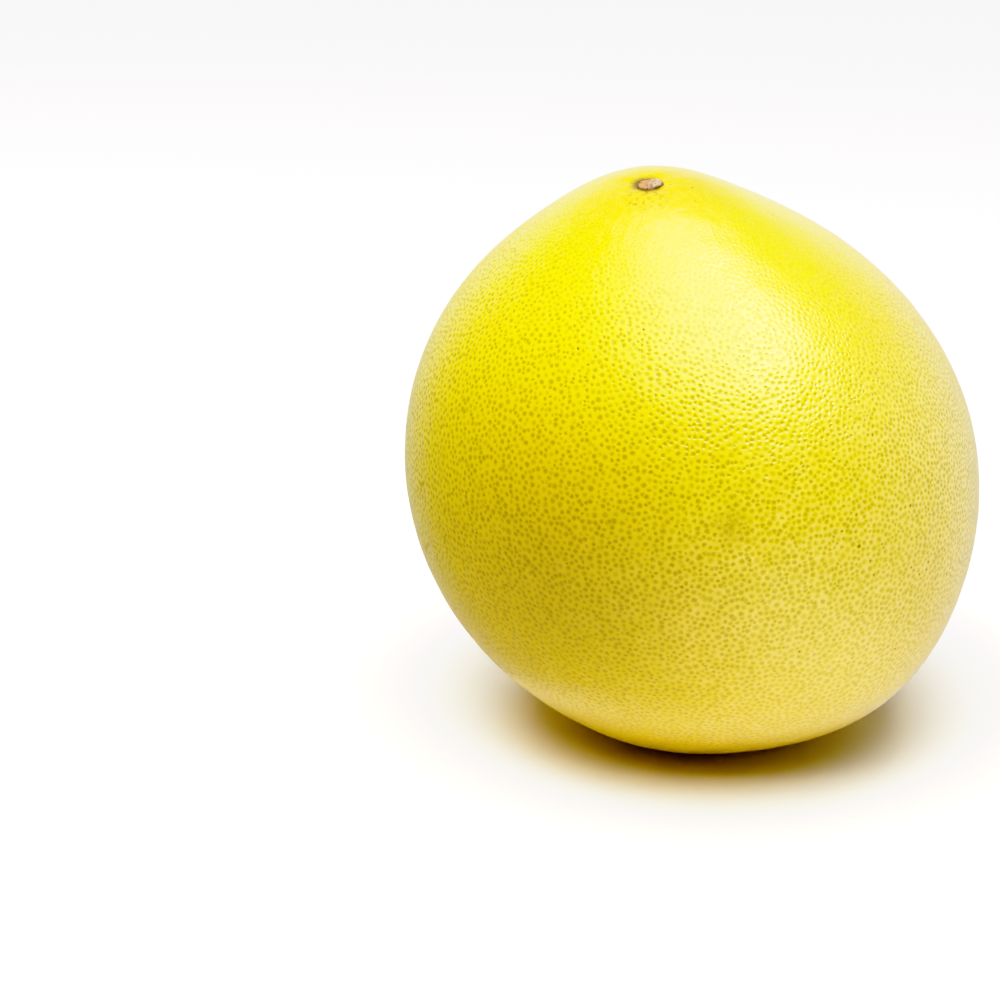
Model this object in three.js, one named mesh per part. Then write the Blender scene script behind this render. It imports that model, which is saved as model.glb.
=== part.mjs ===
// Whole pomelo: the fruit is one closed solid, and the woody button left by its stalk is a second one.
// Millimetres, +Z up. The viewer stands on the -Y side, with +X to the right.
// The origin is the middle of the underside, on the surface that the fruit rests on.
import * as THREE from 'three';

// Driving dimensions of the fruit
const BODY_RADIUS = 82.3;

// Swells of the rind. A swell adds its height where it is centred and fades over its spread.
// A swell with a negative height flattens the fruit there.
// Its angle is in degrees from +X towards +Z, and forward is its lean towards the viewer.
const SWELLS = {
  neck: { height: 9.8, spread: 21, angle: 104, forward: 11 },
  flatFlank: { height: -15.1, spread: 80, angle: 53, forward: 0 },
  leftSide: { height: 4.6, spread: 80, angle: 150, forward: 0 },
  lowerFront: { height: 4.5, spread: 26, angle: -51, forward: 32 },
  lowerBack: { height: 4.5, spread: 26, angle: -51, forward: -32 },
};

// The fruit's axis runs from the stem button, through the middle, to the blossom end
const STEM_ANGLE = 103;
const STEM_FORWARD = 14;

// Dimple at the stem, and the pit of the blossom scar
const STEM_DIMPLE = { depth: 1.7, radius: 5.2 };
const BLOSSOM_PIT = { depth: 0.9, radius: 3.0 };

// Small flat spot that the fruit rests on: how far the weight presses the rind up, and its soft edge
const SPOT_SAG = 3.5;
const SPOT_EDGE = 1.3;

// Woody stem button: it fills the dimple and stays a little under the rind round it
const BUTTON_RADIUS = 3.2;
const BUTTON_SUNK = 0.45;
const BUTTON_CROWN = 0.3;
const BUTTON_GAP = 0.35;
// Its outline: a round that is a little wider across, with small notches, as shares of the radius
const BUTTON_WIDER = 0.09;
const BUTTON_NOTCH = 0.05;
const BUTTON_NOTCH_COUNT = 5;
const BUTTON_NOTCH_TURN = 0.7;
const BUTTON_STEPS = 36;
// Rings of its mesh, as shares of its radius
const UNDERSIDE_RINGS = [0.35, 0.7, 0.95];
const TOP_RINGS = [1, 0.85, 0.6, 0.35];

// Mesh steps: how many around the axis, and the polar angle of each ring in degrees
const STEPS_AROUND = 64;
const POLE_RINGS = [0.8, 1.6, 2.4, 3.3, 4.3, 5.5, 7];
const RING_STEP = 5;

function directionOf(angle, forward) {
  const turn = THREE.MathUtils.degToRad(angle);
  const lean = THREE.MathUtils.degToRad(forward);
  return new THREE.Vector3(
    Math.cos(turn) * Math.cos(lean),
    -Math.sin(lean),
    Math.sin(turn) * Math.cos(lean),
  );
}

const stemAxis = directionOf(STEM_ANGLE, STEM_FORWARD);
const stemTurn = new THREE.Quaternion().setFromUnitVectors(new THREE.Vector3(0, 0, 1), stemAxis);

// A hollow of the rind with a smooth rim, by the distance along the surface from its middle
function hollow(distance, { depth, radius }) {
  return -depth * Math.exp(-((distance / radius) ** 2));
}

// Distance from the middle of the fruit to its rind, before the stem dimple and the blossom pit
function bodyRadius(direction) {
  let radius = BODY_RADIUS;
  for (const { height, spread, angle, forward } of Object.values(SWELLS)) {
    const fade = 1 - Math.cos(THREE.MathUtils.degToRad(spread));
    const away = 1 - direction.dot(directionOf(angle, forward));
    radius += height * Math.exp(-away / fade);
  }
  return radius;
}

function rindRadius(direction) {
  const radius = bodyRadius(direction);
  const fromStem = radius * stemAxis.angleTo(direction);
  const fromBlossom = Math.PI * radius - fromStem;
  return radius + hollow(fromStem, STEM_DIMPLE) + hollow(fromBlossom, BLOSSOM_PIT);
}

// Unit vector at a polar angle from the stem and an angle around the fruit's axis
function axisDirection(polar, around) {
  const direction = new THREE.Vector3(
    Math.sin(polar) * Math.cos(around),
    Math.sin(polar) * Math.sin(around),
    Math.cos(polar),
  );
  return direction.applyQuaternion(stemTurn);
}

function rindPoint(polar, around) {
  const direction = axisDirection(polar, around);
  return direction.multiplyScalar(rindRadius(direction));
}

// Height above the floor once the rind under it is pressed flat
function pressedHeight(height) {
  if (height <= -SPOT_EDGE) return 0;
  if (height >= SPOT_EDGE) return height;
  return (height + SPOT_EDGE) ** 2 / (4 * SPOT_EDGE);
}

function polarAngles() {
  const nearStem = POLE_RINGS;
  const nearBlossom = [...POLE_RINGS].reverse().map((angle) => 180 - angle);
  const first = nearStem[nearStem.length - 1];
  const last = nearBlossom[0];
  const count = Math.round((last - first) / RING_STEP);
  const between = [];
  for (let i = 1; i < count; i += 1) between.push(first + ((last - first) * i) / count);
  return [...nearStem, ...between, ...nearBlossom].map(THREE.MathUtils.degToRad);
}

function fruitPoints() {
  const points = [rindPoint(0, 0)];
  for (const polar of polarAngles()) {
    for (let i = 0; i < STEPS_AROUND; i += 1) {
      points.push(rindPoint(polar, (2 * Math.PI * i) / STEPS_AROUND));
    }
  }
  points.push(rindPoint(Math.PI, 0));
  return points;
}

// A closed skin over rings of points, listed from the first pole's point to the last pole's point.
// Two fans close the poles, and each band between rings is a row of triangle pairs.
function ringTriangles(ringCount, steps) {
  const triangles = [];
  const last = 1 + ringCount * steps;
  const at = (ring, i) => 1 + ring * steps + (i % steps);
  for (let i = 0; i < steps; i += 1) {
    triangles.push(0, at(0, i), at(0, i + 1));
    for (let ring = 0; ring < ringCount - 1; ring += 1) {
      triangles.push(at(ring, i), at(ring + 1, i), at(ring + 1, i + 1));
      triangles.push(at(ring, i), at(ring + 1, i + 1), at(ring, i + 1));
    }
    triangles.push(last, at(ringCount - 1, i + 1), at(ringCount - 1, i));
  }
  return triangles;
}

function closedGeometry(points, triangles) {
  const geometry = new THREE.BufferGeometry().setFromPoints(points);
  geometry.setIndex(triangles);
  geometry.computeVertexNormals();
  return geometry;
}

const points = fruitPoints();
const floor = Math.min(...points.map((point) => point.z)) + SPOT_SAG;
for (const point of points) point.z = pressedHeight(point.z - floor);

// The fruit is placed so that its bounding box stands centred on the origin
const box = new THREE.Box3().setFromPoints(points);
const shift = new THREE.Vector3(-(box.min.x + box.max.x) / 2, -(box.min.y + box.max.y) / 2, 0);
for (const point of points) point.add(shift);

function fruitMesh() {
  const triangles = ringTriangles(polarAngles().length, STEPS_AROUND);
  const rind = new THREE.MeshStandardMaterial({ color: 0xe6d628, roughness: 0.42, metalness: 0 });
  const mesh = new THREE.Mesh(closedGeometry(points, triangles), rind);
  mesh.name = 'pomelo';
  return mesh;
}

function buttonRadius(around) {
  const wider = BUTTON_WIDER * Math.cos(2 * around);
  const notches = BUTTON_NOTCH * Math.cos(BUTTON_NOTCH_COUNT * around + BUTTON_NOTCH_TURN);
  return BUTTON_RADIUS * (1 + wider + notches);
}

// The underside follows the floor of the dimple, and the top follows the rind as if it had no dimple
function buttonPoint(share, around, onTop) {
  const polar = (share * buttonRadius(around)) / bodyRadius(stemAxis);
  const direction = axisDirection(polar, around);
  const underside = rindRadius(direction) + BUTTON_GAP;
  const top = bodyRadius(direction) - BUTTON_SUNK + BUTTON_CROWN * (1 - share ** 2);
  return direction.multiplyScalar(onTop ? top : underside);
}

function buttonMesh() {
  const rings = [
    ...TOP_RINGS.map((share) => ({ share, onTop: true })).reverse(),
    ...UNDERSIDE_RINGS.map((share) => ({ share, onTop: false })).reverse(),
  ];
  const skin = [buttonPoint(0, 0, true)];
  for (const { share, onTop } of rings) {
    for (let i = 0; i < BUTTON_STEPS; i += 1) {
      skin.push(buttonPoint(share, (2 * Math.PI * i) / BUTTON_STEPS, onTop));
    }
  }
  skin.push(buttonPoint(0, 0, false));
  const triangles = ringTriangles(rings.length, BUTTON_STEPS);
  const wood = new THREE.MeshStandardMaterial({ color: 0xa88a5c, roughness: 0.85, metalness: 0 });
  const mesh = new THREE.Mesh(closedGeometry(skin, triangles), wood);
  mesh.name = 'stem_button';
  mesh.position.set(shift.x, shift.y, -floor);
  return mesh;
}

const group = new THREE.Group();
group.add(fruitMesh(), buttonMesh());

export default group;
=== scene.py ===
import math

import bpy
import numpy as np
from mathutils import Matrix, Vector
from mathutils.geometry import delaunay_2d_cdt


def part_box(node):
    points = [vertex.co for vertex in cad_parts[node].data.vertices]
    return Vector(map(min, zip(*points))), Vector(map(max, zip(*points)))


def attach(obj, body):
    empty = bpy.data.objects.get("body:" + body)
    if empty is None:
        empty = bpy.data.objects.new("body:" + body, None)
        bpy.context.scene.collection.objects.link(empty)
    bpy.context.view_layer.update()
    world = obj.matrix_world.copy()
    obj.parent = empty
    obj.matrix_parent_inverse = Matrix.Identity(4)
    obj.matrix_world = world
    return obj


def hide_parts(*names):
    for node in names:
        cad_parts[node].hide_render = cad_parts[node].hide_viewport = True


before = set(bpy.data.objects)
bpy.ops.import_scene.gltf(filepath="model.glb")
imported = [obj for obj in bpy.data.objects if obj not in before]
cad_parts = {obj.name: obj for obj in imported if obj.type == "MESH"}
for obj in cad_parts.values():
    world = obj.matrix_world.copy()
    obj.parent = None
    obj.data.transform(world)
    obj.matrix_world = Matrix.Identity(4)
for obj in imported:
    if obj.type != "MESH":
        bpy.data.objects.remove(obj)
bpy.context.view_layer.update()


# Rind. The outer skin of a ripe pomelo: one closed peel, grown with the fruit, waxy on the outside.
# Thousands of oil glands lie just under it. Each one sinks the skin into a small pit, and the
# skin stands up as a fine net between them, so the mesh has one shallow cell for each gland.
MM = 0.001
BODY_RADIUS = 82.3 * MM
# Swells: height in mm, spread in degrees, angle from +X towards +Z, and lean towards the viewer
SWELLS = {
    "neck": (9.8, 21, 104, 11),
    "flat flank": (-15.1, 80, 53, 0),
    "left side": (4.6, 80, 150, 0),
    "lower front": (4.5, 26, -51, 32),
    "lower back": (4.5, 26, -51, -32),
    "foot": (1.3, 17, -101, 21),
}
STEM_ANGLE, STEM_FORWARD = 103, 12.7
STEM_DIMPLE, STEM_DIMPLE_RADIUS = 1.5 * MM, 5.0 * MM
BLOSSOM_PIT, BLOSSOM_PIT_RADIUS = 0.9 * MM, 3.0 * MM
SPOT_SAG, SPOT_EDGE = 3.5 * MM, 1.3 * MM    # how much of the foot is pressed flat, and its soft edge
SKIN_INSET = 0.25 * MM                      # keeps the uneven skin inside the solid fruit


def direction_of(angle, forward):
    turn, lean = math.radians(angle), math.radians(forward)
    return np.array([math.cos(turn) * math.cos(lean), -math.sin(lean), math.sin(turn) * math.cos(lean)])


STEM_AXIS = direction_of(STEM_ANGLE, STEM_FORWARD)
# Two directions square to the stem's axis, to count angles round it
AROUND_X = np.cross([0, 1, 0], STEM_AXIS)
AROUND_X /= np.linalg.norm(AROUND_X)
AROUND_Y = np.cross(STEM_AXIS, AROUND_X)


def body_radius(directions):
    """Distance from the fruit's middle to the rind, before the stem dimple and the blossom pit."""
    radius = np.full(len(directions), BODY_RADIUS)
    for height, spread, angle, forward in SWELLS.values():
        away = 1 - directions @ direction_of(angle, forward)
        radius += height * MM * np.exp(-away / (1 - math.cos(math.radians(spread))))
    return radius


def stem_distance(directions, radius):
    """Distance along the skin from the middle of the stem dimple."""
    return radius * np.arccos(np.clip(directions @ STEM_AXIS, -1, 1))


def rind_radius(directions):
    radius = body_radius(directions)
    from_stem = stem_distance(directions, radius)
    from_blossom = math.pi * radius - from_stem
    radius = radius - STEM_DIMPLE * np.exp(-((from_stem / STEM_DIMPLE_RADIUS) ** 2))
    return radius - BLOSSOM_PIT * np.exp(-((from_blossom / BLOSSOM_PIT_RADIUS) ** 2))


FURROWS, FURROW_DEPTH = 7, 0.16 * MM
FURROW_PLACE, FURROW_SPREAD = 6.6 * MM, 5.4 * MM        # how far from the stem they are deepest
FURROW_WANDER = 1.3                                     # radians by which they stray from even steps


def furrows(directions, radius):
    """Shallow creases that run out from the stem and fade over the neck."""
    around = np.arctan2(directions @ AROUND_Y, directions @ AROUND_X)
    far = stem_distance(directions, radius)
    fade = np.exp(-((far - FURROW_PLACE) / FURROW_SPREAD) ** 2)
    wave = np.cos(FURROWS * around + FURROW_WANDER * np.sin(2 * around)) ** 3
    return -FURROW_DEPTH * fade * (1 + wave) / 2


WAVES, WAVE_HEIGHT, WAVE_LENGTH, WAVE_SEED = 40, 0.028 * MM, (7 * MM, 15 * MM), 5


def unevenness(directions):
    """Low swells about a centimetre long, left by the growth of the peel: waves in all directions."""
    draw = np.random.default_rng(WAVE_SEED)
    total = np.zeros(len(directions))
    for _ in range(WAVES):
        heading = draw.normal(size=3)
        heading *= 2 * math.pi * BODY_RADIUS / draw.uniform(*WAVE_LENGTH) / np.linalg.norm(heading)
        total += np.cos(directions @ heading + draw.uniform(0, 2 * math.pi))
    return WAVE_HEIGHT * total * math.sqrt(2 / WAVES)


CROWDED_REACH = math.radians(20)    # how far from either end the glands sit closer together
SPIRAL_STEPS = 4001


def even_directions(count, crowding=0.0):
    """Directions on a spiral round the stem's axis, evenly spread, or crowded at its two ends."""
    polar = np.linspace(0, math.pi, SPIRAL_STEPS)
    near = np.exp(-((polar / CROWDED_REACH) ** 2))
    near += np.exp(-(((math.pi - polar) / CROWDED_REACH) ** 2))
    closeness = 1 / (1 - crowding * near) ** 2
    filled = np.cumsum(np.sin(polar) * closeness)
    polar = np.interp((np.arange(count) + 0.5) / count * filled[-1], filled, polar)
    golden_turn = math.pi * (3 - math.sqrt(5))
    turn = golden_turn * np.arange(count)
    out = np.cos(turn)[:, None] * AROUND_X + np.sin(turn)[:, None] * AROUND_Y
    return np.cos(polar)[:, None] * STEM_AXIS + np.sin(polar)[:, None] * out


NEAREST = 1e-7                      # glands closer than this, as a share of the fruit, are one


def skin_cells(seeds):
    """The cell of skin round each gland: its corner directions, and for each side of a cell the
    gland it belongs to and its two corners."""
    # Spread out flat from the blossom end, circles stay circles, so the nearest glands stay the same
    flat = np.stack([seeds @ AROUND_X, seeds @ AROUND_Y], 1) / (1 + seeds @ STEM_AXIS)[:, None]
    spread = delaunay_2d_cdt([Vector(spot) for spot in flat], [], [], 0, NEAREST)
    spread_faces, first_gland = spread[2], spread[3]
    triangles = np.array([[first_gland[corner][0] for corner in face] for face in spread_faces])
    # The outermost glands of the flat spread close the skin over the blossom end
    turns = np.concatenate([triangles[:, [0, 1]], triangles[:, [1, 2]], triangles[:, [2, 0]]]).tolist()
    inner = set(map(tuple, turns))
    rim = {two: one for one, two in turns if (two, one) not in inner}
    loop = [next(iter(rim))]
    while rim[loop[-1]] != loop[0]:
        loop.append(rim[loop[-1]])
    closing = [(loop[0], two, three) for two, three in zip(loop[1:-1], loop[2:])]
    triangles = np.concatenate([triangles, closing])
    points = seeds[triangles]
    corners = np.cross(points[:, 1] - points[:, 0], points[:, 2] - points[:, 0])
    corners *= np.sign(np.einsum("ij,ij->i", corners, points[:, 0]))[:, None]
    corners /= np.linalg.norm(corners, axis=1, keepdims=True)
    # Two triangles meet at each edge: their corners are the ends of one side of two cells
    edges = np.concatenate([triangles[:, [0, 1]], triangles[:, [1, 2]], triangles[:, [2, 0]]])
    edges = np.sort(edges, 1)
    order = np.lexsort((edges[:, 1], edges[:, 0]))
    starts, ends = np.tile(np.arange(len(triangles)), 3)[order].reshape(-1, 2).T
    return corners, edges[order][::2].ravel(), np.repeat(starts, 2), np.repeat(ends, 2)


GLAND_SPACING = 1.71 * MM
CROWDING = 0.62                     # how much closer the glands sit at the two ends
END_EXTRA = 1.06                    # glands in all, for those at the crowded ends
GLAND_JITTER = 0.36                 # share of the spacing that a gland strays from an even spiral
AREA_SAMPLES = 2000
RIND_SEED = 20
rng = np.random.default_rng(RIND_SEED)

surface_area = 4 * math.pi * float(np.mean(body_radius(even_directions(AREA_SAMPLES)) ** 2))
cell_area = GLAND_SPACING ** 2 * math.sqrt(3) / 2       # each gland holds a six-sided cell
gland_count = round(END_EXTRA * surface_area / cell_area)
seeds = even_directions(gland_count, CROWDING)
from_end = np.arccos(np.clip(np.abs(seeds @ STEM_AXIS), 0, 1)) / CROWDED_REACH
stray = GLAND_JITTER * GLAND_SPACING / BODY_RADIUS * (1 - CROWDING * np.exp(-(from_end ** 2)))
seeds += rng.normal(0, 1, seeds.shape) * stray[:, None]
seeds /= np.linalg.norm(seeds, axis=1, keepdims=True)
corners, side_gland, side_start, side_end = skin_cells(seeds)
# Growing glands push each other apart, so each one settles in the middle of its first cell
side_middles = corners[side_start] + corners[side_end]
seeds = np.stack([np.bincount(side_gland, side_middles[:, axis], len(seeds)) for axis in range(3)], 1)
seeds /= np.linalg.norm(seeds, axis=1, keepdims=True)
corners, side_gland, side_start, side_end = skin_cells(seeds)


def skin_points(directions, sunk):
    """Points of the skin round the fruit's middle, sunk below the net by the given depths."""
    radius = rind_radius(directions)
    radius = radius + furrows(directions, radius) + unevenness(directions) - SKIN_INSET - sunk
    return directions * radius[:, None]


# A gland is as wide as its own cell allows, give or take a little
GLAND_FILL = (0.44, 0.64)           # a gland's radius as a share of its cell's
PIT_DEPTH, FULL_CELL, DEEPEST_PIT = 0.14 * MM, 0.58 * GLAND_SPACING, 1.3
NECK_REACH, PITS_GROW, NECK_PITS = 8 * MM, 46 * MM, 0.15       # pits deepen away from the stem
sides = np.bincount(side_gland, minlength=len(seeds))
corner_reach = np.linalg.norm(corners[side_start] - seeds[side_gland], axis=1)
cell_radius = np.bincount(side_gland, corner_reach, len(seeds)) / sides * body_radius(seeds)
gland_radius = cell_radius * rng.uniform(*GLAND_FILL, len(seeds))
from_stem = stem_distance(seeds, body_radius(seeds))
pit_depth = PIT_DEPTH * np.clip(cell_radius / FULL_CELL, 0, DEEPEST_PIT)
pit_depth *= np.clip((from_stem - NECK_REACH) / PITS_GROW, NECK_PITS, 1)

# The fruit's middle, so that it fills the solid fruit's box and stands at the bottom of it
BOX_SAMPLES = 20000
plain = even_directions(BOX_SAMPLES)
plain = plain * rind_radius(plain)[:, None]
box_low, box_high = (np.array(corner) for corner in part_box("pomelo"))
fruit_middle = (box_low + box_high) / 2 - (plain.min(0) + plain.max(0)) / 2
fruit_middle[2] = box_low[2] - (plain[:, 2].min() + SPOT_SAG)
FRUIT_WIDTH, FRUIT_HEIGHT = float(box_high[0] - box_low[0]), float(box_high[2] - box_low[2])

# High on the fruit, the glands are clearer on its left than on its right
HIGH_FROM, HIGH_TO = 0.72 * FRUIT_HEIGHT, 0.88 * FRUIT_HEIGHT
CLEAR_LEFT, CLEAR_RIGHT = 1.25, 0.5
CLEAR_FROM, CLEAR_TO = -25 * MM, 22 * MM
gland_places = seeds * body_radius(seeds)[:, None] + fruit_middle
clearness = np.interp(gland_places[:, 0], (CLEAR_FROM, CLEAR_TO), (CLEAR_LEFT, CLEAR_RIGHT))
clearness = 1 + (clearness - 1) * np.interp(gland_places[:, 2], (HIGH_FROM, HIGH_TO), (0, 1))
pit_depth *= clearness


def pressed(points):
    """Moves the skin to its place, and presses flat what its own weight rests on."""
    points = points + fruit_middle
    height = points[:, 2]
    soft = (height + SPOT_EDGE) ** 2 / (4 * SPOT_EDGE)
    points[:, 2] = np.where(height < -SPOT_EDGE, 0, np.where(height > SPOT_EDGE, height, soft))
    return points


points = pressed(np.concatenate([skin_points(seeds, pit_depth), skin_points(corners, 0)]))
faces = np.stack([side_gland, side_start + len(seeds), side_end + len(seeds)], 1)
middles = points[faces].mean(1) - fruit_middle
first_side, second_side = (points[faces[:, i]] - points[faces[:, 0]] for i in (1, 2))
inward = np.einsum("ij,ij->i", np.cross(first_side, second_side), middles) < 0
faces[inward] = faces[inward][:, ::-1]

skin_mesh = bpy.data.meshes.new("rind")
skin_mesh.from_pydata(points.tolist(), [], faces.tolist())
skin_mesh.shade_smooth()
rind = bpy.data.objects.new("rind", skin_mesh)
bpy.context.scene.collection.objects.link(rind)

# Specks: a few glands have dried to a brown point, most of them low on the right of the front
SPECKS = 90
SPECKLED_ANGLE, SPECKLED_FORWARD, SPECKLED_SPREAD = -5, 52, 16    # where they are thickest, in degrees
SPECKLED_TIMES = 12                 # how much thicker they are there
speckled = 1 - seeds @ direction_of(SPECKLED_ANGLE, SPECKLED_FORWARD)
speckled = 1 + SPECKLED_TIMES * np.exp(-speckled / (1 - math.cos(math.radians(SPECKLED_SPREAD))))
speck = np.zeros(len(seeds))
speck[rng.choice(len(seeds), SPECKS, replace=False, p=speckled / speckled.sum())] = 1

# Each face knows the gland it belongs to: where its middle is, how wide it is and how strong
FAINTEST_GLAND, FULL_SHARE = 0.5, 0.3       # the faintest one's strength, and the share at full strength
strength = np.interp(rng.random(len(seeds)), (0, 1 - FULL_SHARE), (FAINTEST_GLAND, 1)) * clearness
centre_data = skin_mesh.attributes.new("gland_middle", "FLOAT_VECTOR", "FACE")
centre_data.data.foreach_set("vector", points[side_gland].astype(np.float32).ravel())
for name, values in (("gland_radius", gland_radius), ("gland_strength", strength), ("speck", speck)):
    data = skin_mesh.attributes.new(name, "FLOAT", "FACE")
    data.data.foreach_set("value", values[side_gland].astype(np.float32))


def linear(hex_colour):
    """The linear colour of an sRGB hex value."""
    channels = [int(hex_colour[i:i + 2], 16) / 255 for i in (1, 3, 5)]
    return [c / 12.92 if c <= 0.04045 else ((c + 0.055) / 1.055) ** 2.4 for c in channels] + [1]


def add(tree, kind, inputs, **settings):
    """Adds a node: its settings first, then each input, which is a value or another node's output.
    In a Map Range node, inputs 1 and 2 are the range it reads, and 3 and 4 the range it gives.
    In a Mix node for colours, inputs 6 and 7 are the two colours and output 2 is the result."""
    made = tree.nodes.new(kind)
    for name, value in settings.items():
        setattr(made, name, value)
    for socket, value in inputs.items():
        if isinstance(value, bpy.types.NodeSocket):
            tree.links.new(value, made.inputs[socket])
        else:
            made.inputs[socket].default_value = value
    return made


SMOOTH = {"interpolation_type": "SMOOTHSTEP"}       # for a Map Range node
COLOURS = {"data_type": "RGBA"}                     # for a Mix node


def empty_material(name):
    material = bpy.data.materials.new(name)
    material.use_nodes = True
    material.node_tree.nodes.clear()
    return material


# Waxed citrus rind: living peel under a thin natural wax. The wax gives the eye one broad soft
# shine; the glands show through it as small darker, greener dots in a paler yellow net.
citrus_rind = empty_material("waxed_citrus_rind")
tree = citrus_rind.node_tree
place = add(tree, "ShaderNodeTexCoord", {}).outputs["Object"]
gland_middle = add(tree, "ShaderNodeAttribute", {}, attribute_name="gland_middle").outputs["Vector"]
gland_size = add(tree, "ShaderNodeAttribute", {}, attribute_name="gland_radius").outputs["Fac"]
gland_strength = add(tree, "ShaderNodeAttribute", {}, attribute_name="gland_strength").outputs["Fac"]
gland_speck = add(tree, "ShaderNodeAttribute", {}, attribute_name="speck").outputs["Fac"]

# The outline of each gland wavers by a few tenths of a millimetre
WAVER_SIZE, WAVER = 0.9 * MM, 0.32 * MM
waver = add(tree, "ShaderNodeTexNoise", {"Vector": place, "Scale": 1 / WAVER_SIZE, "Detail": 1.0})
waver = add(tree, "ShaderNodeVectorMath", {0: waver.outputs["Color"], 1: (0.5, 0.5, 0.5)},
            operation="SUBTRACT").outputs[0]
waver = add(tree, "ShaderNodeVectorMath", {0: waver, "Scale": 2 * WAVER}, operation="SCALE").outputs[0]
wavered = add(tree, "ShaderNodeVectorMath", {0: place, 1: waver}, operation="ADD").outputs[0]
from_middle = add(tree, "ShaderNodeVectorMath", {0: wavered, 1: gland_middle},
                  operation="DISTANCE").outputs["Value"]
reach = add(tree, "ShaderNodeMath", {0: from_middle, 1: gland_size}, operation="DIVIDE").outputs[0]
GLAND_EDGE, GLAND_HEART = 1.5, 0.2          # where its colour starts and is full, in gland radii
gland = add(tree, "ShaderNodeMapRange", {"Value": reach, 1: GLAND_EDGE, 2: GLAND_HEART, 3: 0.0, 4: 1.0},
            **SMOOTH).outputs[0]

# Glands are hardly seen on the smooth neck, and grow clearer down to the widest part of the fruit
STEM_POINT = Vector(skin_points(STEM_AXIS[None], 0)[0] + fruit_middle)
from_stem_node = add(tree, "ShaderNodeVectorMath", {0: place, 1: STEM_POINT},
                     operation="DISTANCE").outputs["Value"]
HIDDEN_TO, CLEAR_AT, HIDDEN_SHARE = 6 * MM, 60 * MM, 0.25
clear = add(tree, "ShaderNodeMapRange", {"Value": from_stem_node, 1: HIDDEN_TO, 2: CLEAR_AT,
                                         3: HIDDEN_SHARE, 4: 1.0}, **SMOOTH).outputs[0]
clear = add(tree, "ShaderNodeMath", {0: gland_strength, 1: clear}, operation="MULTIPLY").outputs[0]
gland_shade = add(tree, "ShaderNodeMath", {0: gland, 1: clear}, operation="MULTIPLY").outputs[0]

# Broad colour: clear lemon yellow on top, deeper round the middle and golden below
LEMON, DEEP_LEMON, GOLDEN = "#E6CF07", "#D8C405", "#EDC811"
DEEP_FROM, DEEP_TO, LOW_TO = 0.9 * FRUIT_HEIGHT, 0.6 * FRUIT_HEIGHT, 0.05 * FRUIT_HEIGHT
axes = add(tree, "ShaderNodeSeparateXYZ", {"Vector": place}).outputs
deep = add(tree, "ShaderNodeMapRange", {"Value": axes["Z"], 1: DEEP_FROM, 2: DEEP_TO, 3: 0.0, 4: 1.0},
           **SMOOTH).outputs[0]
low = add(tree, "ShaderNodeMapRange", {"Value": axes["Z"], 1: DEEP_TO, 2: LOW_TO, 3: 0.0, 4: 1.0},
          **SMOOTH).outputs[0]
ground = add(tree, "ShaderNodeMix", {0: deep, 6: linear(LEMON), 7: linear(DEEP_LEMON)}, **COLOURS).outputs[2]
ground = add(tree, "ShaderNodeMix", {0: low, 6: ground, 7: linear(GOLDEN)}, **COLOURS).outputs[2]

# Painted shade: a deep gold darkening low on the left, standing in for shade on that side
PAINTED_SHADE_GOLD = "#B39702"
PAINTED_SHADE_PLACE, PAINTED_SHADE_REACH = Vector((-0.28, -0.42, 0.42)) * FRUIT_WIDTH, 0.53 * FRUIT_WIDTH
PAINTED_SHADE_SHARE = 0.9
painted_shade = add(tree, "ShaderNodeVectorMath", {0: place, 1: PAINTED_SHADE_PLACE}, operation="DISTANCE").outputs["Value"]
painted_shade = add(tree, "ShaderNodeMapRange", {"Value": painted_shade, 1: PAINTED_SHADE_REACH, 2: 0.0, 3: 0.0, 4: PAINTED_SHADE_SHARE},
            **SMOOTH).outputs[0]
ground = add(tree, "ShaderNodeMix", {0: painted_shade, 6: ground, 7: linear(PAINTED_SHADE_GOLD)}, **COLOURS).outputs[2]

# The neck is a little more golden round the stem
NECK_GOLD = "#E6B804"
NECK_EDGE, NECK_FULL, NECK_SHARE = 32 * MM, 8 * MM, 0.75
neck = add(tree, "ShaderNodeMapRange", {"Value": from_stem_node, 1: NECK_EDGE, 2: NECK_FULL,
                                        3: 0.0, 4: NECK_SHARE}, **SMOOTH).outputs[0]
ground = add(tree, "ShaderNodeMix", {0: neck, 6: ground, 7: linear(NECK_GOLD)}, **COLOURS).outputs[2]

# Above the widest part the yellow is warmer on the right shoulder, and finely mottled with a paler
# and pinker one
WARM_LEMON, PINKISH_YELLOW = "#F2D20C", "#F2CC48"
SHOULDER_FROM, SHOULDER_TO, SHOULDER_SHARE = -0.05 * FRUIT_WIDTH, 0.25 * FRUIT_WIDTH, 0.8
MOTTLE_SIZE, MOTTLED_FROM, MOTTLED_TO, MOTTLED_SHARE = 2.2 * MM, 0.48, 0.68, 0.4
upper = add(tree, "ShaderNodeMath", {0: 1.0, 1: deep}, operation="SUBTRACT").outputs[0]
shoulder = add(tree, "ShaderNodeMapRange", {"Value": axes["X"], 1: SHOULDER_FROM, 2: SHOULDER_TO,
                                            3: 0.0, 4: SHOULDER_SHARE}, **SMOOTH).outputs[0]
shoulder = add(tree, "ShaderNodeMath", {0: shoulder, 1: upper}, operation="MULTIPLY").outputs[0]
ground = add(tree, "ShaderNodeMix", {0: shoulder, 6: ground, 7: linear(WARM_LEMON)}, **COLOURS).outputs[2]
mottling = add(tree, "ShaderNodeTexNoise", {"Vector": place, "Scale": 1 / MOTTLE_SIZE, "Detail": 4.0,
                                            "Roughness": 0.7}).outputs["Fac"]
mottling = add(tree, "ShaderNodeMapRange", {"Value": mottling, 1: MOTTLED_FROM, 2: MOTTLED_TO,
                                            3: 0.0, 4: MOTTLED_SHARE}).outputs[0]
mottling = add(tree, "ShaderNodeMath", {0: mottling, 1: upper}, operation="MULTIPLY").outputs[0]
ground = add(tree, "ShaderNodeMix", {0: mottling, 6: ground, 7: linear(PINKISH_YELLOW)},
             **COLOURS).outputs[2]
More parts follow.
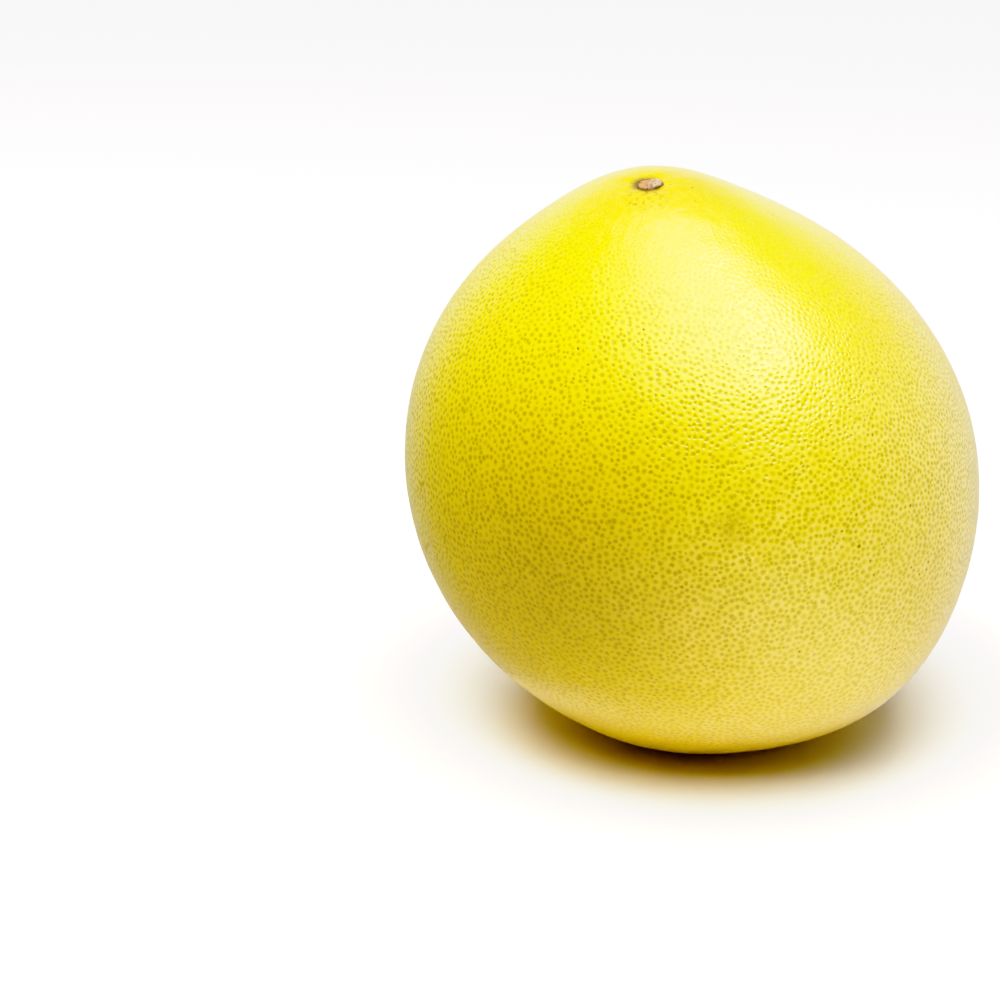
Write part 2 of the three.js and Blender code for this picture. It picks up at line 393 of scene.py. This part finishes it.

# The net between the glands: as yellow as they are on the left, and paler towards the right and the bottom.
# The paleness is partly the rind's own cream net and partly painted sheen, for the bright room and table
# mirrored there
PALE_AND_SHEEN = "#EFD06E"
PALE_AND_SHEEN_RIGHT, PALE_AND_SHEEN_BELOW, PALE_ROUND_THE_MIDDLE = 1.18, 0.25, 0.35        # what each adds to the paleness
ZONE_SIZE, ZONE_SHARE = 45 * MM, 0.5
PALE_FROM, PALE_TO, LEAST_PALE = 0.98, 1.85, 0.05
zones = add(tree, "ShaderNodeTexNoise", {"Vector": place, "Scale": 1 / ZONE_SIZE,
                                         "Detail": 3.0}).outputs["Fac"]
across = add(tree, "ShaderNodeMapRange", {"Value": axes["X"], 1: -0.5 * FRUIT_WIDTH, 2: 0.5 * FRUIT_WIDTH,
                                          3: 0.0, 4: PALE_AND_SHEEN_RIGHT}).outputs[0]
for part, share in ((low, PALE_AND_SHEEN_BELOW), (zones, ZONE_SHARE), (deep, PALE_ROUND_THE_MIDDLE)):
    across = add(tree, "ShaderNodeMath", {0: part, 1: share, 2: across}, operation="MULTIPLY_ADD").outputs[0]
pale_and_sheen = add(tree, "ShaderNodeMapRange", {"Value": across, 1: PALE_FROM, 2: PALE_TO, 3: LEAST_PALE, 4: 1.0},
           **SMOOTH).outputs[0]
# Where the left is painted into shade, the net does not pale
unshaded = add(tree, "ShaderNodeMath", {0: 1.0, 1: painted_shade}, operation="SUBTRACT").outputs[0]
pale_and_sheen = add(tree, "ShaderNodeMath", {0: pale_and_sheen, 1: unshaded}, operation="MULTIPLY").outputs[0]
# It comes in patches half a centimetre wide, which are faint where the rind is yellow
PATCH_SIZE, PATCH_FROM, PATCH_TO = 5 * MM, 0.4, 0.72
PATCH_LESS, PATCH_MORE = -0.16, 0.26
PATCHED_RISE, PATCHED_LEAST = 2.5, 0.25     # how their strength grows with paleness, from this least
patches = add(tree, "ShaderNodeTexNoise", {"Vector": place, "Scale": 1 / PATCH_SIZE, "Detail": 4.0,
                                           "Roughness": 0.75}).outputs["Fac"]
patches = add(tree, "ShaderNodeMapRange", {"Value": patches, 1: PATCH_FROM, 2: PATCH_TO,
                                           3: PATCH_LESS, 4: PATCH_MORE}).outputs[0]
patched = add(tree, "ShaderNodeMath", {0: pale_and_sheen, 1: PATCHED_RISE, 2: PATCHED_LEAST},
              operation="MULTIPLY_ADD", use_clamp=True).outputs[0]
pale_and_sheen = add(tree, "ShaderNodeMath", {0: patches, 1: patched, 2: pale_and_sheen}, operation="MULTIPLY_ADD",
           use_clamp=True).outputs[0]
# It is palest in the wide gaps, and lemon yellow close round each gland
GAP_FROM, GAP_TO, CLOSE_PALE = 0.7, 2.1, 0.35       # in gland radii, and the share of paleness there
gap = add(tree, "ShaderNodeMapRange", {"Value": reach, 1: GAP_FROM, 2: GAP_TO, 3: CLOSE_PALE, 4: 1.0},
          **SMOOTH).outputs[0]
pale_and_sheen = add(tree, "ShaderNodeMath", {0: pale_and_sheen, 1: gap}, operation="MULTIPLY").outputs[0]
net = add(tree, "ShaderNodeMix", {0: pale_and_sheen, 6: ground, 7: linear(PALE_AND_SHEEN)}, **COLOURS).outputs[2]

# Glands: deeper than the net on the yellow side, and clear lemon in the pale parts
GLAND_DEEP, GLAND_FRESH = "#CACC68", "#DFDF86"      # what the ground's colour is multiplied by
tint = add(tree, "ShaderNodeMix", {0: pale_and_sheen, 6: linear(GLAND_DEEP), 7: linear(GLAND_FRESH)},
           **COLOURS).outputs[2]
glands = add(tree, "ShaderNodeMix", {0: 1.0, 6: ground, 7: tint}, blend_type="MULTIPLY",
             **COLOURS).outputs[2]
# Towards the bottom of the fruit, and in the pale parts, they show less
FADES_BELOW, FADES_PALE = -0.42, -0.65
shown = add(tree, "ShaderNodeMath", {0: low, 1: FADES_BELOW, 2: 1.0}, operation="MULTIPLY_ADD").outputs[0]
shown = add(tree, "ShaderNodeMath", {0: pale_and_sheen, 1: FADES_PALE, 2: shown}, operation="MULTIPLY_ADD").outputs[0]
shown = add(tree, "ShaderNodeMath", {0: shown, 1: gland_shade}, operation="MULTIPLY").outputs[0]
colour = add(tree, "ShaderNodeMix", {0: shown, 6: net, 7: glands}, **COLOURS).outputs[2]

# Rubbed places: faint olive smudges a centimetre wide, a few on each side
SMUDGE = "#B5A21C"
SMUDGE_SIZE, SMUDGED_FROM, SMUDGED_TO, SMUDGED_SHARE = 22 * MM, 0.62, 0.78, 0.35
smudge = add(tree, "ShaderNodeTexNoise", {"Vector": place, "Scale": 1 / SMUDGE_SIZE, "Detail": 4.0,
                                          "Roughness": 0.65}).outputs["Fac"]
smudge = add(tree, "ShaderNodeMapRange", {"Value": smudge, 1: SMUDGED_FROM, 2: SMUDGED_TO,
                                          3: 0.0, 4: SMUDGED_SHARE}, **SMOOTH).outputs[0]
colour = add(tree, "ShaderNodeMix", {0: smudge, 6: colour, 7: linear(SMUDGE)}, **COLOURS).outputs[2]

# Specks: dry brown points, about half a millimetre wide
SPECK_BROWN, SPECK_RADIUS, SPECK_SHARE = "#54420C", 0.3 * MM, 0.85
speck_spot = add(tree, "ShaderNodeMapRange", {"Value": from_middle, 1: SPECK_RADIUS, 2: 0.6 * SPECK_RADIUS,
                                              3: 0.0, 4: SPECK_SHARE}).outputs[0]
speck_spot = add(tree, "ShaderNodeMath", {0: speck_spot, 1: gland_speck}, operation="MULTIPLY").outputs[0]
colour = add(tree, "ShaderNodeMix", {0: speck_spot, 6: colour, 7: linear(SPECK_BROWN)}, **COLOURS).outputs[2]

# Two rubbed marks on the front, with broken edges: place from the fruit's middle in mm, reach, colour
MARKS = (((38.5, -66, 21.5), 4.2 * MM, "#AE8410"), ((0, -79, 8), 7 * MM, "#A8960C"))
SCUFF_SIZE = 1.3 * MM
MARK_FROM, MARK_TO, MARK_LEAST, MARK_MOST = 0.35, 0.65, 0.15, 0.75
scuffs = add(tree, "ShaderNodeTexNoise", {"Vector": place, "Scale": 1 / SCUFF_SIZE,
                                          "Detail": 3.0}).outputs["Fac"]
broken = add(tree, "ShaderNodeMapRange", {"Value": scuffs, 1: MARK_FROM, 2: MARK_TO,
                                          3: MARK_LEAST, 4: MARK_MOST}).outputs[0]
for mark_place, mark_radius, mark_colour in MARKS:
    mark_point = Vector(fruit_middle) + Vector(mark_place) * MM
    mark = add(tree, "ShaderNodeVectorMath", {0: wavered, 1: mark_point},
               operation="DISTANCE").outputs["Value"]
    mark = add(tree, "ShaderNodeMapRange", {"Value": mark, 1: mark_radius, 2: 0.1 * mark_radius,
                                            3: 0.0, 4: 1.0}, **SMOOTH).outputs[0]
    mark = add(tree, "ShaderNodeMath", {0: mark, 1: broken}, operation="MULTIPLY").outputs[0]
    colour = add(tree, "ShaderNodeMix", {0: mark, 6: colour, 7: linear(mark_colour)}, **COLOURS).outputs[2]

# Scuffs in front of the button: short olive marks
SCUFF = "#7A6E0A"
SCUFFED_POINT = STEM_POINT + Vector((-1.5, -6.5, -1.5)) * MM
SCUFFED_EDGE, SCUFFED_FULL, SCUFFED_SHARE = 7.5 * MM, 3 * MM, 0.6
SCUFF_FROM, SCUFF_TO = 0.5, 0.64
scuffed = add(tree, "ShaderNodeVectorMath", {0: place, 1: SCUFFED_POINT},
              operation="DISTANCE").outputs["Value"]
scuffed = add(tree, "ShaderNodeMapRange", {"Value": scuffed, 1: SCUFFED_EDGE, 2: SCUFFED_FULL,
                                           3: 0.0, 4: SCUFFED_SHARE}, **SMOOTH).outputs[0]
scuffs = add(tree, "ShaderNodeMapRange", {"Value": scuffs, 1: SCUFF_FROM, 2: SCUFF_TO,
                                          3: 0.0, 4: 1.0}).outputs[0]
scuffs = add(tree, "ShaderNodeMath", {0: scuffs, 1: scuffed}, operation="MULTIPLY").outputs[0]
colour = add(tree, "ShaderNodeMix", {0: scuffs, 6: colour, 7: linear(SCUFF)}, **COLOURS).outputs[2]

# Grey green on the left of the button, gone after a few millimetres
GREY_GREEN = "#625A26"
GREY_GREEN_POINT = STEM_POINT + Vector((-1.1, 0.1, 0)) * MM
GREY_GREEN_EDGE, GREY_GREEN_FULL, GREY_GREEN_SHARE = 5.3 * MM, 2.6 * MM, 0.95
grey_green = add(tree, "ShaderNodeVectorMath", {0: wavered, 1: GREY_GREEN_POINT},
            operation="DISTANCE").outputs["Value"]
grey_green = add(tree, "ShaderNodeMapRange", {"Value": grey_green, 1: GREY_GREEN_EDGE, 2: GREY_GREEN_FULL,
                                         3: 0.0, 4: GREY_GREEN_SHARE}, **SMOOTH).outputs[0]
colour = add(tree, "ShaderNodeMix", {0: grey_green, 6: colour, 7: linear(GREY_GREEN)}, **COLOURS).outputs[2]

# Relief that the mesh is too coarse for: the round floor of each pit, a fine unevenness, and the
# faint wrinkles of the neck
FLOOR_DEPTH = 0.13 * MM
GRAIN_SIZE, GRAIN = 1.6 * MM, 0.035 * MM
WRINKLE_SIZE, WRINKLE = 2.8 * MM, 0.26 * MM
WRINKLED_EDGE, WRINKLED_FULL = 46 * MM, 12 * MM
relief = add(tree, "ShaderNodeMath", {0: gland_shade, 1: -FLOOR_DEPTH}, operation="MULTIPLY").outputs[0]
grain = add(tree, "ShaderNodeTexNoise", {"Vector": place, "Scale": 1 / GRAIN_SIZE,
                                         "Detail": 2.0}).outputs["Fac"]
relief = add(tree, "ShaderNodeMath", {0: grain, 1: GRAIN, 2: relief}, operation="MULTIPLY_ADD").outputs[0]
wrinkles = add(tree, "ShaderNodeTexNoise", {"Vector": place, "Scale": 1 / WRINKLE_SIZE, "Detail": 2.0,
                                            "Distortion": 0.6}).outputs["Fac"]
wrinkled = add(tree, "ShaderNodeMapRange", {"Value": from_stem_node, 1: WRINKLED_EDGE, 2: WRINKLED_FULL,
                                            3: 0.0, 4: WRINKLE}, **SMOOTH).outputs[0]
relief = add(tree, "ShaderNodeMath", {0: wrinkles, 1: wrinkled, 2: relief},
             operation="MULTIPLY_ADD").outputs[0]
bump = add(tree, "ShaderNodeBump", {"Height": relief, "Distance": 1.0, "Strength": 1.0}).outputs["Normal"]

# The peel's own surface is half matt, and light goes a millimetre into it; the wax is its coat
rind_shader = add(tree, "ShaderNodeBsdfPrincipled", {
    "Base Color": colour, "Normal": bump, "Roughness": 0.34, "IOR": 1.48,
    "Subsurface Weight": 0.10, "Subsurface Radius": (1.0, 0.7, 0.15), "Subsurface Scale": 1.2 * MM,
    "Coat Weight": 0.9, "Coat Roughness": 0.25, "Coat IOR": 1.5, "Coat Normal": bump,
})
add(tree, "ShaderNodeOutputMaterial", {"Surface": rind_shader.outputs["BSDF"]})
skin_mesh.materials.append(citrus_rind)
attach(rind, "root")
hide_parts("pomelo")


# Stem button. The disc of dry wood left in the dimple where the stalk broke off: two low lobes
# of torn fibre round a small sunk core, with a ragged rim. It grew there, so nothing fastens it.
BUTTON_RADIUS = 3.0 * MM
BUTTON_TURN = math.radians(24)      # of its long way, from the fruit's own right
BUTTON_SUNK, BUTTON_CROWN = 0.85 * MM, 0.2 * MM
BUTTON_BED = 0.25 * MM              # how far the underside lies in the floor of the dimple
BUTTON_RINGS, BUTTON_STEPS = 26, 96
UNDERSIDE_SHARES = (0.97, 0.7, 0.35)
# Shares of the radius: how much wider the long way is, and the split in the rim at the front
WIDER, NOTCH, NOTCH_WIDTH, NOTCH_ANGLE = 0.2, 0.24, 0.22, -1.55
RAGGED = ((5, 0.035, 0.7), (11, 0.025, 2.0), (23, 0.015, 0.0))      # waves round the rim, size, shift


def button_outline(around):
    """The rim's radius at an angle round the button: wider across, notched low in the middle."""
    outline = 1 + WIDER * np.cos(2 * (around - BUTTON_TURN))
    for waves, size, shift in RAGGED:
        outline = outline + size * np.cos(waves * around + shift)
    from_notch = np.angle(np.exp(1j * (around - NOTCH_ANGLE)))
    return BUTTON_RADIUS * (outline - NOTCH * np.exp(-((from_notch / NOTCH_WIDTH) ** 2)))


# Heights in mm; places and widths as shares of the radius
CORE_DEPTH, CORE_WIDTH = 0.42, 0.2
COLLAR_HEIGHT, COLLAR_PLACE, COLLAR_WIDTH = 0.16, 0.36, 0.12
FIBRES = ((17, 5, 0.10), (31, -9, 0.07))                            # number round it, twist, height
LOBE_HEIGHT, LOBE_SHIFT = 0.16, 0.3
SPLIT_DEPTH, SPLIT_WIDTH, SPLIT_RISE, SPLIT_START = 1.0, 0.2, 1.6, 0.35     # it deepens outwards
RIM_DROP, RIM_FROM = 0.55, 0.86


def button_relief(share, around):
    """Height of the torn wood above the button's plain crown, at a share of the radius."""
    height = -CORE_DEPTH * np.exp(-((share / CORE_WIDTH) ** 2))
    height += COLLAR_HEIGHT * np.exp(-(((share - COLLAR_PLACE) / COLLAR_WIDTH) ** 2))
    for count, twist, size in FIBRES:
        height = height + size * np.sin(count * around + twist * share) * share
    height = height + LOBE_HEIGHT * np.cos(2 * around + LOBE_SHIFT) * share ** 2
    split = np.exp(-((np.angle(np.exp(1j * (around - NOTCH_ANGLE))) / SPLIT_WIDTH) ** 2))
    split = split * np.clip(share * SPLIT_RISE - SPLIT_START, 0, 1)
    rim = np.clip((share - RIM_FROM) / (1 - RIM_FROM), 0, 1) ** 2
    return (height - SPLIT_DEPTH * split - RIM_DROP * rim) * MM


around = np.linspace(0, 2 * math.pi, BUTTON_STEPS, endpoint=False)
out = np.cos(around)[:, None] * AROUND_X + np.sin(around)[:, None] * AROUND_Y
stem_radius = float(body_radius(STEM_AXIS[None])[0])


def button_ring(share):
    """Directions of the points round the button, at a share of its radius."""
    far = share * button_outline(around) / stem_radius
    return np.cos(far)[:, None] * STEM_AXIS + np.sin(far)[:, None] * out


top_shares = np.linspace(0, 1, BUTTON_RINGS + 1)[1:]
button_points = [STEM_AXIS[None] * (stem_radius - BUTTON_SUNK + BUTTON_CROWN + button_relief(0.0, 0.0))]
for share in top_shares:
    directions = button_ring(share)
    radius = body_radius(directions) - BUTTON_SUNK + BUTTON_CROWN * (1 - share ** 2)
    button_points.append(directions * (radius + button_relief(share, around))[:, None])
for share in UNDERSIDE_SHARES:
    directions = button_ring(share)
    button_points.append(directions * (rind_radius(directions) - BUTTON_BED)[:, None])
button_points.append(STEM_AXIS[None] * (stem_radius - STEM_DIMPLE - BUTTON_BED))
button_points = np.concatenate(button_points) + fruit_middle
ring_count = BUTTON_RINGS + len(UNDERSIDE_SHARES)
last_ring, last_point = 1 + (ring_count - 1) * BUTTON_STEPS, 1 + ring_count * BUTTON_STEPS
button_faces = []
for i in range(BUTTON_STEPS):
    j = (i + 1) % BUTTON_STEPS
    button_faces.append((0, 1 + i, 1 + j))
    for ring in range(ring_count - 1):
        here, there = 1 + ring * BUTTON_STEPS, 1 + (ring + 1) * BUTTON_STEPS
        button_faces.append((here + i, there + i, there + j, here + j))
    button_faces.append((last_ring + i, last_point, last_ring + j))
button_mesh = bpy.data.meshes.new("stem_button_wood")
button_mesh.from_pydata(button_points.tolist(), [], button_faces)
button_mesh.shade_smooth()
underside = np.ones(len(UNDERSIDE_SHARES) * BUTTON_STEPS + 1)
rim_shares = np.concatenate([[0], np.repeat(top_shares, BUTTON_STEPS), underside])
rim_data = button_mesh.attributes.new("rim_share", "FLOAT", "POINT")
rim_data.data.foreach_set("value", rim_shares.astype(np.float32))
button = bpy.data.objects.new("stem_button_wood", button_mesh)
bpy.context.scene.collection.objects.link(button)

# Dry citrus wood, torn and weathered: dull and rough, peach on the left and a paler, greyer tan on
# the right, with darker brown between its fibres, and painted shade round its rim
PEACH_WOOD, TAN_WOOD, DARK_WOOD_AND_RIM_SHADE = "#B98B5E", "#BEA688", "#5E4A1C"
FIBRE_SIZE, FIBRE_HEIGHT = 0.55 * MM, 0.25 * MM
BLOTCH_SIZE, BLOTCH_SHIFT = 1.6 * MM, 5 * MM        # the line between the two colours wanders
TAN_FROM, TAN_TO = -1.2 * MM, 0.8 * MM
dry_wood = empty_material("dry_citrus_wood")
tree = dry_wood.node_tree
place = add(tree, "ShaderNodeTexCoord", {}).outputs["Object"]
fibre = add(tree, "ShaderNodeTexNoise", {"Vector": place, "Scale": 1 / FIBRE_SIZE, "Detail": 4.0,
                                         "Roughness": 0.65}).outputs["Fac"]
blotch = add(tree, "ShaderNodeTexNoise", {"Vector": place, "Scale": 1 / BLOTCH_SIZE,
                                          "Detail": 2.0}).outputs["Fac"]
rightward = add(tree, "ShaderNodeSeparateXYZ", {"Vector": place}).outputs["X"]
tone = add(tree, "ShaderNodeMath", {0: blotch, 1: BLOTCH_SHIFT, 2: rightward},
           operation="MULTIPLY_ADD").outputs[0]
middle_tone = float(STEM_POINT[0]) + 0.5 * BLOTCH_SHIFT
tone = add(tree, "ShaderNodeMapRange", {"Value": tone, 1: middle_tone + TAN_FROM, 2: middle_tone + TAN_TO,
                                        3: 0.0, 4: 1.0}).outputs[0]
wood = add(tree, "ShaderNodeMix", {0: tone, 6: linear(PEACH_WOOD), 7: linear(TAN_WOOD)},
           **COLOURS).outputs[2]
BETWEEN_FROM, BETWEEN_TO, BETWEEN_SHARE = 0.5, 0.36, 0.7
dark = add(tree, "ShaderNodeMapRange", {"Value": fibre, 1: BETWEEN_FROM, 2: BETWEEN_TO,
                                        3: 0.0, 4: BETWEEN_SHARE}).outputs[0]
# The rim darkens to brown in an uneven line: painted shade, for the gap where the button sits in the skin
RIM_SHADE_UNEVEN, RIM_SHADE_FROM, RIM_SHADE_TO, RIM_SHADE_SHARE = -0.5, 0.53, 0.76, 0.8
rim_share = add(tree, "ShaderNodeAttribute", {}, attribute_name="rim_share").outputs["Fac"]
rim_shade = add(tree, "ShaderNodeMath", {0: fibre, 1: RIM_SHADE_UNEVEN, 2: rim_share},
               operation="MULTIPLY_ADD").outputs[0]
rim_shade = add(tree, "ShaderNodeMapRange", {"Value": rim_shade, 1: RIM_SHADE_FROM, 2: RIM_SHADE_TO,
                                            3: 0.0, 4: RIM_SHADE_SHARE}).outputs[0]
# The painted rim shade uses the same dark brown as the gaps between the fibres
dark = add(tree, "ShaderNodeMath", {0: dark, 1: rim_shade}, operation="MAXIMUM").outputs[0]
wood = add(tree, "ShaderNodeMix", {0: dark, 6: wood, 7: linear(DARK_WOOD_AND_RIM_SHADE)}, **COLOURS).outputs[2]
fibre_relief = add(tree, "ShaderNodeMath", {0: fibre, 1: FIBRE_HEIGHT}, operation="MULTIPLY").outputs[0]
bump = add(tree, "ShaderNodeBump", {"Height": fibre_relief, "Distance": 1.0}).outputs["Normal"]
wood_shader = add(tree, "ShaderNodeBsdfPrincipled", {"Base Color": wood, "Normal": bump, "Roughness": 0.85})
add(tree, "ShaderNodeOutputMaterial", {"Surface": wood_shader.outputs["BSDF"]})
button_mesh.materials.append(dry_wood)
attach(button, "root")
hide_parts("stem_button")


# Table. A wide round of matt white board, which the fruit stands on and which fills the view. The
# wax mirrors only the middle, in the fruit's own shadow; the light of the room stands for the rest.
TABLE_REACH, MIRRORED_REACH, TABLE_STEPS = 6.0, 60 * MM, 96
PAINTED_BOUNCE_BOARD, WHITE_BOARD = "#FFEEB6", "#FCFCFC"
PAINTED_BOUNCE_TO, WHITE_FROM = 34 * MM, 60 * MM
# Matt white board: card with a faint tooth, so it has no shine. Close to the fruit its colour is painted
# warmer: painted bounce light, for the yellow light that the rind sends down on it
white_board = empty_material("matt_white_board")
tree = white_board.node_tree
place = add(tree, "ShaderNodeTexCoord", {}).outputs["Object"]
from_foot = add(tree, "ShaderNodeVectorMath", {0: place}, operation="LENGTH").outputs["Value"]
plain_share = add(tree, "ShaderNodeMapRange", {"Value": from_foot, 1: PAINTED_BOUNCE_TO, 2: WHITE_FROM,
                                               3: 0.0, 4: 1.0}, **SMOOTH).outputs[0]
board_colour = add(tree, "ShaderNodeMix", {0: plain_share, 6: linear(PAINTED_BOUNCE_BOARD), 7: linear(WHITE_BOARD)},
                   **COLOURS).outputs[2]
board = add(tree, "ShaderNodeBsdfPrincipled", {"Base Color": board_colour, "Roughness": 0.9,
                                               "Specular IOR Level": 0.2})
add(tree, "ShaderNodeOutputMaterial", {"Surface": board.outputs["BSDF"]})
turns = np.linspace(0, 2 * math.pi, TABLE_STEPS, endpoint=False)
circle = np.stack([np.cos(turns), np.sin(turns), 0 * turns], 1)
middle_face = [tuple(range(TABLE_STEPS))]
rim_faces = [(i, i + TABLE_STEPS, (i + 1) % TABLE_STEPS + TABLE_STEPS, (i + 1) % TABLE_STEPS)
             for i in range(TABLE_STEPS)]
for name, reaches, board_faces in (("table_middle", (MIRRORED_REACH,), middle_face),
                                   ("table_rim", (MIRRORED_REACH, TABLE_REACH), rim_faces)):
    board_mesh = bpy.data.meshes.new(name)
    board_points = np.concatenate([reach * circle for reach in reaches])
    board_mesh.from_pydata(board_points.tolist(), [], board_faces)
    board_mesh.materials.append(white_board)
    board_piece = bpy.data.objects.new(name, board_mesh)
    board_piece.visible_glossy = name == "table_middle"
    bpy.context.scene.collection.objects.link(board_piece)


# Light. A wide soft ceiling light over the front of the table lights the fruit; a second panel,
# further to the right, gives only the broad shine on the wax. The room is bright behind and to the
# right of the fruit, and below it where the lit table is, and dark round the camera.
PANEL_HEIGHT = 3.0
CEILING_BRIGHTNESS, SHINE_BRIGHTNESS = 6.1, 5.6      # as seen, where the lit table is about 1.3
for name, place, width, depth, brightness in (
        ("ceiling_light", (-0.45, -1.05), 3.4, 3.2, CEILING_BRIGHTNESS),
        ("shine_panel", (1.02, -1.06), 3.1, 2.7, SHINE_BRIGHTNESS)):
    panel = bpy.data.lights.new(name, "AREA")
    panel.shape = "RECTANGLE"
    panel.size, panel.size_y = width, depth
    panel.energy = brightness * math.pi * width * depth
    lamp = bpy.data.objects.new(name, panel)
    lamp.location = (*place, PANEL_HEIGHT)
    lamp.visible_glossy = name == "shine_panel"
    lamp.visible_diffuse = name == "ceiling_light"
    bpy.context.scene.collection.objects.link(lamp)

ROOM_DARK, ROOM_BRIGHT, TABLE_BRIGHT = 0.03, 0.8, 0.6
BRIGHT_SIDE, DIM_SIDE = Vector((0.36, 0.9, 0.2)).normalized(), Vector((0.35, 0.3, 0.89)).normalized()
world = bpy.data.worlds.new("studio_room")
bpy.context.scene.world = world
world.use_nodes = True
tree = world.node_tree
tree.nodes.clear()
towards = add(tree, "ShaderNodeTexCoord", {}).outputs["Generated"]
towards_axes = add(tree, "ShaderNodeSeparateXYZ", {"Vector": towards}).outputs
# Each of these goes by how far a direction points to a side, from -1 to 1
FULL_BRIGHT_AT = 0.9
DIM_FROM, DIM_AT, DIM_SHARE = 0.5, 0.85, 0.3
aside = add(tree, "ShaderNodeVectorMath", {0: towards, 1: BRIGHT_SIDE},
            operation="DOT_PRODUCT").outputs["Value"]
room = add(tree, "ShaderNodeMapRange", {"Value": aside, 1: 0.0, 2: FULL_BRIGHT_AT,
                                        3: ROOM_DARK, 4: ROOM_BRIGHT}, **SMOOTH).outputs[0]
# Overhead, beyond the panel, it is dimmer
high = add(tree, "ShaderNodeVectorMath", {0: towards, 1: DIM_SIDE}, operation="DOT_PRODUCT").outputs["Value"]
high = add(tree, "ShaderNodeMapRange", {"Value": high, 1: DIM_FROM, 2: DIM_AT, 3: 1.0, 4: DIM_SHARE},
           **SMOOTH).outputs[0]
room = add(tree, "ShaderNodeMath", {0: room, 1: high}, operation="MULTIPLY").outputs[0]
# Below is the table: straight down lies the fruit's own shadow, and the left is less lit
TABLE_FROM, TABLE_AT = -0.15, -0.7
SHADOW_FROM, SHADOW_AT, SHADOW_SHARE = -0.72, -0.98, 0.6
LEFT_AT, LIT_AT, LEFT_SHARE = -0.6, 0.4, 0.3
below = add(tree, "ShaderNodeMapRange", {"Value": towards_axes["Z"], 1: TABLE_FROM, 2: TABLE_AT,
                                         3: 0.0, 4: TABLE_BRIGHT}, **SMOOTH).outputs[0]
shadow = add(tree, "ShaderNodeMapRange", {"Value": towards_axes["Z"], 1: SHADOW_FROM, 2: SHADOW_AT,
                                          3: 1.0, 4: SHADOW_SHARE}, **SMOOTH).outputs[0]
lit_side = add(tree, "ShaderNodeMapRange", {"Value": towards_axes["X"], 1: LEFT_AT, 2: LIT_AT,
                                            3: LEFT_SHARE, 4: 1.0}, **SMOOTH).outputs[0]
for share in (shadow, lit_side):
    below = add(tree, "ShaderNodeMath", {0: below, 1: share}, operation="MULTIPLY").outputs[0]
room = add(tree, "ShaderNodeMath", {0: room, 1: below}, operation="MAXIMUM").outputs[0]
background = add(tree, "ShaderNodeBackground", {"Color": (1, 1, 1, 1), "Strength": room})
add(tree, "ShaderNodeOutputWorld", {"Surface": background.outputs[0]})

# The tone curve of a camera, from light to picture: deep tones sink, and the brightest roll off
WHITE = 1.27
TONES = ((0.02, 0.004), (0.05, 0.03), (0.1, 0.09), (0.2, 0.22), (0.3, 0.34), (0.5, 0.58), (0.75, 0.82),
         (0.93, 0.915), (1.16, 0.955))
# A camera also deepens strong colours: a little blue in a yellow is lost, and the red in a bright
# yellow is lifted
RED_TONES = ((0.5, 0.5), (0.8, 0.803), (0.87, 0.89), (0.915, 0.948))
BLUE_TONES = ((0.012, 0.003), (0.025, 0.01), (0.05, 0.038), (0.09, 0.085), (0.2, 0.2))
view = bpy.context.scene.view_settings
view.view_transform = "Standard"
view.use_curve_mapping = True
view.curve_mapping.white_level = (WHITE, WHITE, WHITE)
red_curve, _, blue_curve, all_curve = view.curve_mapping.curves
for light, tone in TONES:
    all_curve.points.new(light / WHITE, tone)
for curve, tones in ((red_curve, RED_TONES), (blue_curve, BLUE_TONES)):
    for before, after in tones:
        curve.points.new(before, after)
view.curve_mapping.update()


# Camera. It stands where the photographer did, a little above the fruit, with a long lens.
CAMERA_ELEVATION = math.radians(20)
CAMERA_LENS, SENSOR_WIDTH, CAMERA_DISTANCE = 100, 36, 0.7653
FRUIT_RIGHT, FRUIT_ABOVE = 57.55 * MM, 12.99 * MM    # the fruit's middle, from the picture's middle
back = Vector((0, -math.cos(CAMERA_ELEVATION), math.sin(CAMERA_ELEVATION)))
up = Vector((0, math.sin(CAMERA_ELEVATION), math.cos(CAMERA_ELEVATION)))
aim = Vector(fruit_middle) - Vector((FRUIT_RIGHT, 0, 0)) - up * FRUIT_ABOVE
camera = bpy.data.objects.new("camera", bpy.data.cameras.new("camera"))
camera.data.lens = CAMERA_LENS
camera.data.sensor_width = SENSOR_WIDTH
camera.location = aim + back * CAMERA_DISTANCE
camera.rotation_euler = (math.pi / 2 - CAMERA_ELEVATION, 0, 0)
bpy.context.scene.collection.objects.link(camera)
bpy.context.scene.camera = camera


bpy.context.view_layer.update()
